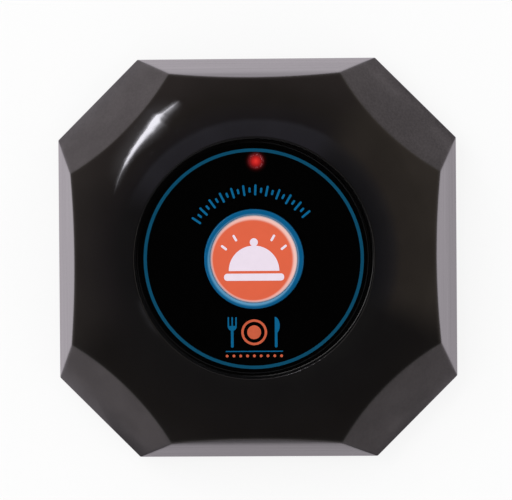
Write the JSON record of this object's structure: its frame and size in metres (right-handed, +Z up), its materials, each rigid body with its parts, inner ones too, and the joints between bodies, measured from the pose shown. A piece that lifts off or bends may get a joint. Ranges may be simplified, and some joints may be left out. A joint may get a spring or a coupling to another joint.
{
  "type": "waiter call button",
  "caption": "Octagonal black table-top call button: faceted domed cover, round black fascia, sprung round orange key in a blue rim, red light, rubber feet and battery door.",
  "frame": {"origin": "middle of the housing on the table that the feet stand on", "axes": "+Z up through the call key, +Y from the key towards the light, +X to the user's right"},
  "size_m": [0.085, 0.085, 0.0229],
  "materials": {
    "black_abs": "glossy black moulding",
    "base_abs": "fine spark-textured black moulding",
    "seal_rubber": "matt",
    "foot_rubber": "matt",
    "screw_steel": "zinc plated",
    "printed_black": "black printed film",
    "tape": "adhesive tape",
    "key_blue": "blue moulding",
    "key_orange": "printed orange",
    "lens_red": "clear red",
    "led_red": "clear red",
    "tinned": "tinned",
    "moulding_black": "matt",
    "board_green": "solder mask",
    "can_steel": "nickel plated",
    "chip_ceramic": "fired",
    "copper": "enamelled copper",
    "jacket": "shrunk film"
  },
  "bodies": {
    "housing": {"top_cover": "black_abs", "base_cover": "base_abs", "case_seal": "seal_rubber", "rubber_feet": "foot_rubber", "case_screws": "screw_steel", "fascia_disc": "printed_black", "fascia_tape": "tape", "indicator_lens": "lens_red", "status_led": "led_red", "led_leads": "tinned", "led_spacer": "moulding_black", "circuit_board": "board_green", "board_screws": "screw_steel", "switch_body": "moulding_black", "switch_plate": "tinned", "switch_dome": "tinned", "switch_legs": "tinned", "encoder_chip": "moulding_black", "encoder_legs": "tinned", "resonator_can": "can_steel", "resonator_pins": "tinned", "transmitter_transistor": "moulding_black", "chip_resistors": "chip_ceramic", "chip_capacitors": "chip_ceramic", "antenna_coil": "copper", "battery_can": "can_steel", "battery_sleeve": "jacket", "contact_plus": "tinned", "contact_minus": "tinned", "contact_spring": "tinned"},
    "call_key": {"key_cap": "key_blue", "key_face": "key_orange"},
    "switch_stem": {"switch_actuator": "moulding_black"},
    "battery_door": {"battery_door": "base_abs"}
  },
  "joints": [
    {"name": "key_press", "type": "slide", "parent": "housing", "child": "call_key", "axis": [0, 0, -1], "range_m": [0, 0.0004], "stiffness_N_per_m": 3000, "springref_m": -0.0002},
    {"name": "switch_stroke", "type": "slide", "parent": "housing", "child": "switch_stem", "axis": [0, 0, -1], "range_m": [0, 0.0003], "deforming": ["switch_dome"]},
    {"name": "door_swing", "type": "hinge", "parent": "housing", "child": "battery_door", "pos_m": [-0.0186, -0.024, 0.0008], "axis": [0, 1, 0], "range_deg": [0, 60]}
  ],
  "couplings": [
    {"joint": "switch_stroke", "follows": "key_press", "ratio": 0.75}
  ]
}
